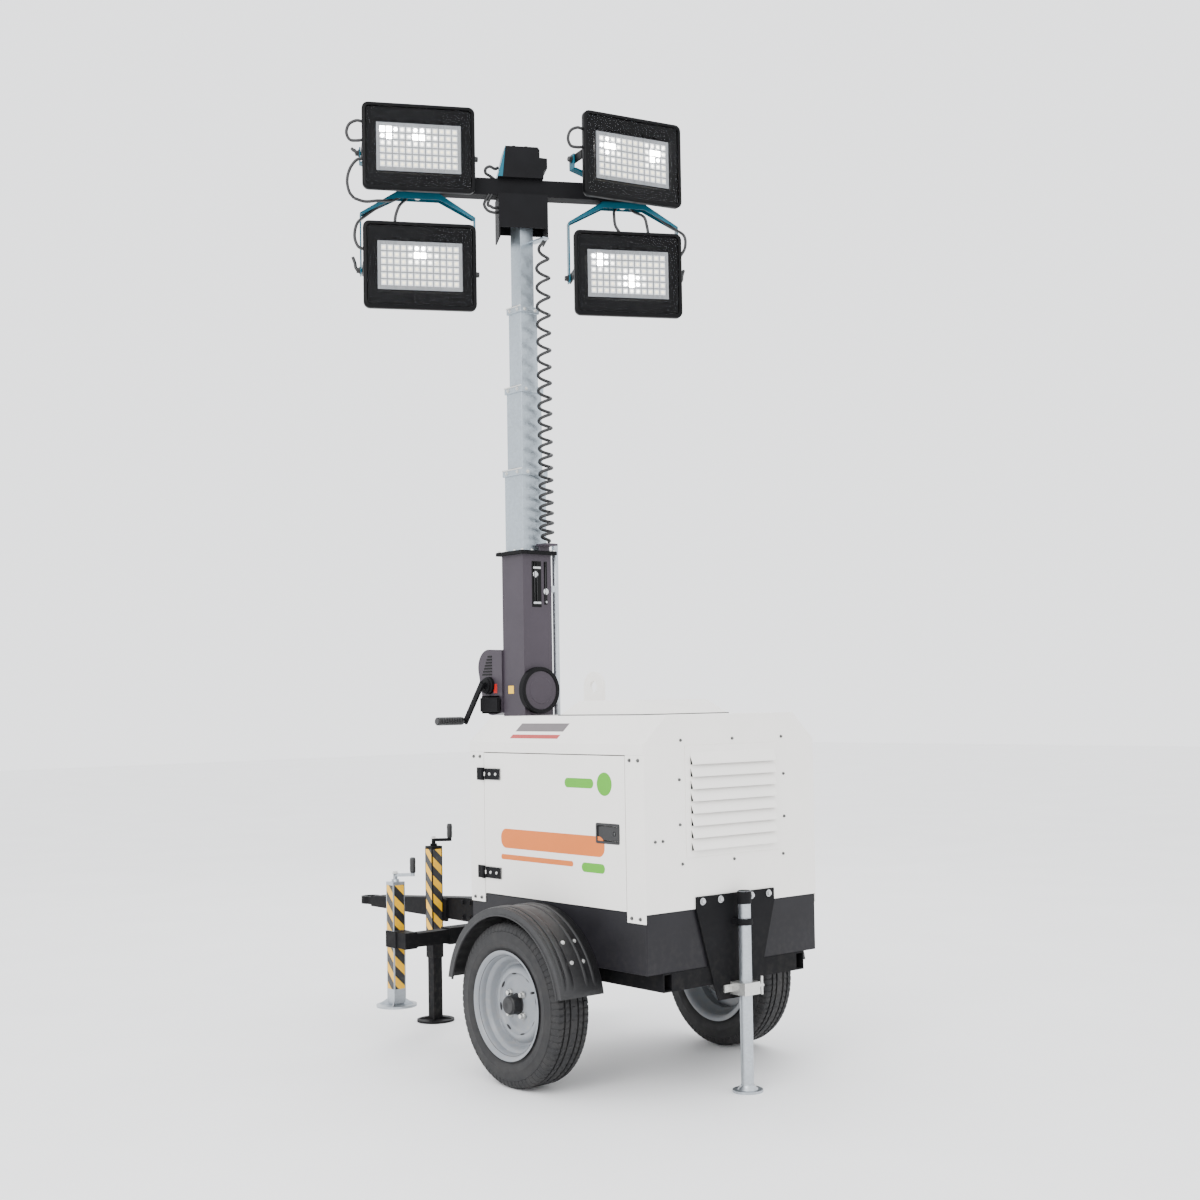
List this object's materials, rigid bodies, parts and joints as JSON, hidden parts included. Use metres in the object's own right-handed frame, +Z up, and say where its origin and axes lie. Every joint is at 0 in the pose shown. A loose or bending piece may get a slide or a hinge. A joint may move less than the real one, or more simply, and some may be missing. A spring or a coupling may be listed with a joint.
{
  "type": "towable light tower generator",
  "caption": "Towable diesel generator in a bevelled cabinet on a wheeled chassis, with a telescopic mast, hand winch and swivelling floodlights.",
  "frame": {"origin": "on the ground, on the axis of the mast, at the centre of the footprint", "axes": "+X to the rear along the drawbar, +Y across with -Y at the left door, +Z up"},
  "size_m": [2.4199, 1.1702, 3.54],
  "materials": {
    "white_paint": "gloss",
    "black_paint": "satin",
    "tub_black": "satin",
    "mast_grey": "satin",
    "galvanised": "matte",
    "zinc_bolts": "satin",
    "tyre": "matte",
    "rim_silver": "satin",
    "black_plastic": "matte",
    "hazard_yellow": "satin",
    "lamp_black": "satin",
    "yoke_steel": "satin",
    "engine_iron": "satin",
    "alternator_iron": "satin",
    "radiator_black": "matte",
    "tank_plastic": "matte",
    "battery_plastic": "satin",
    "panel_grey": "satin",
    "cable_rubber": "matte",
    "latch_black": "satin"
  },
  "bodies": {
    "trailer": {"chassis_frame": "black_paint", "base_tub": "tub_black", "drawbar": "black_paint", "axle": "black_paint", "mudguards": "black_plastic", "end_panels": "white_paint", "louvre_panel": "white_paint", "roof_panel": "white_paint", "roof_hood": "white_paint", "lifting_eye": "white_paint", "panel_bolts": "zinc_bolts", "door_hinges": "black_paint", "engine": "engine_iron", "alternator": "alternator_iron", "radiator": "radiator_black", "fuel_tank": "tank_plastic", "battery": "battery_plastic", "control_panel": "panel_grey", "rear_jack_bracket": "black_paint", "rear_jack_clamp": "galvanised", "tow_jack_tube": "hazard_yellow", "mast_column": "mast_grey", "winch_housing": "black_plastic", "mast_conduit": "galvanised", "mast_cable": "cable_rubber"},
    "wheel_left": {"tyre_left": "tyre", "rim_left": "rim_silver"},
    "wheel_right": {"tyre_right": "tyre", "rim_right": "rim_silver"},
    "fan": {"cooling_fan": "black_plastic"},
    "door_left": {"door_left": "white_paint"},
    "door_right": {"door_right": "white_paint"},
    "latch_left": {"latch_left": "latch_black"},
    "latch_right": {"latch_right": "latch_black"},
    "rear_leg": {"rear_jack_leg": "galvanised"},
    "rear_lever": {"rear_jack_lever": "galvanised"},
    "outrigger_left": {"outrigger_arm_left": "black_paint", "jack_tube_left": "hazard_yellow"},
    "outrigger_right": {"outrigger_arm_right": "black_paint", "jack_tube_right": "hazard_yellow"},
    "leg_left": {"jack_leg_left": "galvanised"},
    "leg_right": {"jack_leg_right": "galvanised"},
    "crank_left": {"jack_crank_left": "galvanised"},
    "crank_right": {"jack_crank_right": "galvanised"},
    "tow_leg": {"tow_jack_leg": "black_paint"},
    "tow_crank": {"tow_jack_crank": "galvanised"},
    "mast_1": {"mast_section_1": "galvanised"},
    "mast_2": {"mast_section_2": "galvanised"},
    "mast_3": {"mast_section_3": "galvanised"},
    "mast_4": {"mast_section_4": "galvanised"},
    "winch_crank": {"winch_crank": "galvanised"},
    "head": {"lamp_head": "black_paint"},
    "yoke_upper_left": {"yoke_upper_left": "yoke_steel"},
    "yoke_upper_right": {"yoke_upper_right": "yoke_steel"},
    "yoke_lower_left": {"yoke_lower_left": "yoke_steel"},
    "yoke_lower_right": {"yoke_lower_right": "yoke_steel"},
    "lamp_upper_left": {"lamp_upper_left": "lamp_black"},
    "lamp_upper_right": {"lamp_upper_right": "lamp_black"},
    "lamp_lower_left": {"lamp_lower_left": "lamp_black"},
    "lamp_lower_right": {"lamp_lower_right": "lamp_black"}
  },
  "joints": [
    {"name": "wheel_left_spin", "type": "hinge", "parent": "trailer", "child": "wheel_left", "pos_m": [0.58, -0.4715, 0.2735], "axis": [0, 1, 0], "continuous": true},
    {"name": "wheel_right_spin", "type": "hinge", "parent": "trailer", "child": "wheel_right", "pos_m": [0.58, 0.4715, 0.2735], "axis": [0, 1, 0], "continuous": true},
    {"name": "fan_spin", "type": "hinge", "parent": "trailer", "child": "fan", "pos_m": [0.985, 0, 0.86], "axis": [1, 0, 0], "continuous": true},
    {"name": "door_left_hinge", "type": "hinge", "parent": "trailer", "child": "door_left", "pos_m": [0.2485, -0.394, 0.854], "axis": [0, 0, -1], "range_deg": [0, 110]},
    {"name": "door_right_hinge", "type": "hinge", "parent": "trailer", "child": "door_right", "pos_m": [0.2485, 0.394, 0.854], "axis": [0, 0, 1], "range_deg": [0, 110]},
    {"name": "latch_left_pull", "type": "hinge", "parent": "door_left", "child": "latch_left", "pos_m": [0.887, -0.3825, 0.85], "axis": [0, 0, -1], "range_deg": [0, 40], "stiffness_Nm_per_rad": 0.4},
    {"name": "latch_right_pull", "type": "hinge", "parent": "door_right", "child": "latch_right", "pos_m": [0.887, 0.3825, 0.85], "axis": [0, 0, 1], "range_deg": [0, 40], "stiffness_Nm_per_rad": 0.4},
    {"name": "rear_leg_slide", "type": "slide", "parent": "trailer", "child": "rear_leg", "axis": [0, 0, 1], "range_m": [-0.04, 0.28]},
    {"name": "rear_lever_turn", "type": "hinge", "parent": "trailer", "child": "rear_lever", "pos_m": [1.16, 0, 0.335], "axis": [0, 1, 0], "range_deg": [-90, 90]},
    {"name": "outrigger_left_slide", "type": "slide", "parent": "trailer", "child": "outrigger_left", "axis": [0, -1, 0], "range_m": [0, 0.22]},
    {"name": "outrigger_right_slide", "type": "slide", "parent": "trailer", "child": "outrigger_right", "axis": [0, 1, 0], "range_m": [0, 0.22]},
    {"name": "crank_left_turn", "type": "hinge", "parent": "outrigger_left", "child": "crank_left", "pos_m": [-0.22, -0.467, 0.6], "axis": [0, 0, 1], "range_deg": [0, 13500]},
    {"name": "leg_left_slide", "type": "slide", "parent": "outrigger_left", "child": "leg_left", "axis": [0, 0, -1], "range_m": [0, 0.301]},
    {"name": "crank_right_turn", "type": "hinge", "parent": "outrigger_right", "child": "crank_right", "pos_m": [-0.22, 0.467, 0.6], "axis": [0, 0, 1], "range_deg": [0, 13500]},
    {"name": "leg_right_slide", "type": "slide", "parent": "outrigger_right", "child": "leg_right", "axis": [0, 0, -1], "range_m": [0, 0.301]},
    {"name": "tow_crank_turn", "type": "hinge", "parent": "trailer", "child": "tow_crank", "pos_m": [-0.558, -0.073, 0.7], "axis": [0, 0, 1], "range_deg": [-10800, 4500]},
    {"name": "tow_leg_slide", "type": "slide", "parent": "trailer", "child": "tow_leg", "axis": [0, 0, -1], "range_m": [-0.2405, 0.1005]},
    {"name": "mast_1_slide", "type": "slide", "parent": "trailer", "child": "mast_1", "axis": [0, 0, 1], "range_m": [-0.24, 0.5], "deforming": ["mast_cable"]},
    {"name": "mast_2_slide", "type": "slide", "parent": "mast_1", "child": "mast_2", "axis": [0, 0, 1], "range_m": [-0.24, 0.5]},
    {"name": "mast_3_slide", "type": "slide", "parent": "mast_2", "child": "mast_3", "axis": [0, 0, 1], "range_m": [-0.24, 0.5]},
    {"name": "mast_4_slide", "type": "slide", "parent": "mast_3", "child": "mast_4", "axis": [0, 0, 1], "range_m": [-0.24, 0.5]},
    {"name": "winch_crank_turn", "type": "hinge", "parent": "trailer", "child": "winch_crank", "pos_m": [-0.15, -0.075, 1.345], "axis": [0, 1, 0], "range_deg": [-1376, 2866]},
    {"name": "head_swivel", "type": "hinge", "parent": "mast_4", "child": "head", "pos_m": [0, 0, 3.23], "axis": [0, 0, 1], "range_deg": [-150, 200]},
    {"name": "yoke_upper_left_swivel", "type": "hinge", "parent": "head", "child": "yoke_upper_left", "pos_m": [-0.19148, -0.35119, 3.295], "axis": [0, 0, 1], "range_deg": [-15, 2]},
    {"name": "lamp_upper_left_tilt", "type": "hinge", "parent": "yoke_upper_left", "child": "lamp_upper_left", "pos_m": [-0.19148, -0.35119, 3.375], "axis": [0.4787, 0.878, 0], "range_deg": [-60, 2]},
    {"name": "yoke_upper_right_swivel", "type": "hinge", "parent": "head", "child": "yoke_upper_right", "pos_m": [0.19148, 0.35119, 3.295], "axis": [0, 0, 1], "range_deg": [-19, 3]},
    {"name": "lamp_upper_right_tilt", "type": "hinge", "parent": "yoke_upper_right", "child": "lamp_upper_right", "pos_m": [0.19148, 0.35119, 3.375], "axis": [0.2181, 0.9759, 0], "range_deg": [-60, 4]},
    {"name": "yoke_lower_left_swivel", "type": "hinge", "parent": "head", "child": "yoke_lower_left", "pos_m": [-0.19148, -0.35119, 3.23], "axis": [0, 0, 1], "range_deg": [-25, 20]},
    {"name": "lamp_lower_left_tilt", "type": "hinge", "parent": "yoke_lower_left", "child": "lamp_lower_left", "pos_m": [-0.19148, -0.35119, 2.925], "axis": [0.4787, 0.878, 0], "range_deg": [-60, 60]},
    {"name": "yoke_lower_right_swivel", "type": "hinge", "parent": "head", "child": "yoke_lower_right", "pos_m": [0.19148, 0.35119, 3.23], "axis": [0, 0, 1], "range_deg": [-8, 25]},
    {"name": "lamp_lower_right_tilt", "type": "hinge", "parent": "yoke_lower_right", "child": "lamp_lower_right", "pos_m": [0.19148, 0.35119, 2.925], "axis": [0.4787, 0.878, 0], "range_deg": [-60, 60]}
  ],
  "couplings": [
    {"joint": "leg_left_slide", "follows": "crank_left_turn", "m_per_rad": 0.0012732},
    {"joint": "leg_right_slide", "follows": "crank_right_turn", "m_per_rad": 0.0012732},
    {"joint": "tow_leg_slide", "follows": "tow_crank_turn", "m_per_rad": 0.0012732},
    {"joint": "mast_2_slide", "follows": "mast_1_slide", "ratio": 1},
    {"joint": "mast_3_slide", "follows": "mast_1_slide", "ratio": 1},
    {"joint": "mast_4_slide", "follows": "mast_1_slide", "ratio": 1},
    {"joint": "winch_crank_turn", "follows": "mast_1_slide", "rad_per_m": 100}
  ]
}
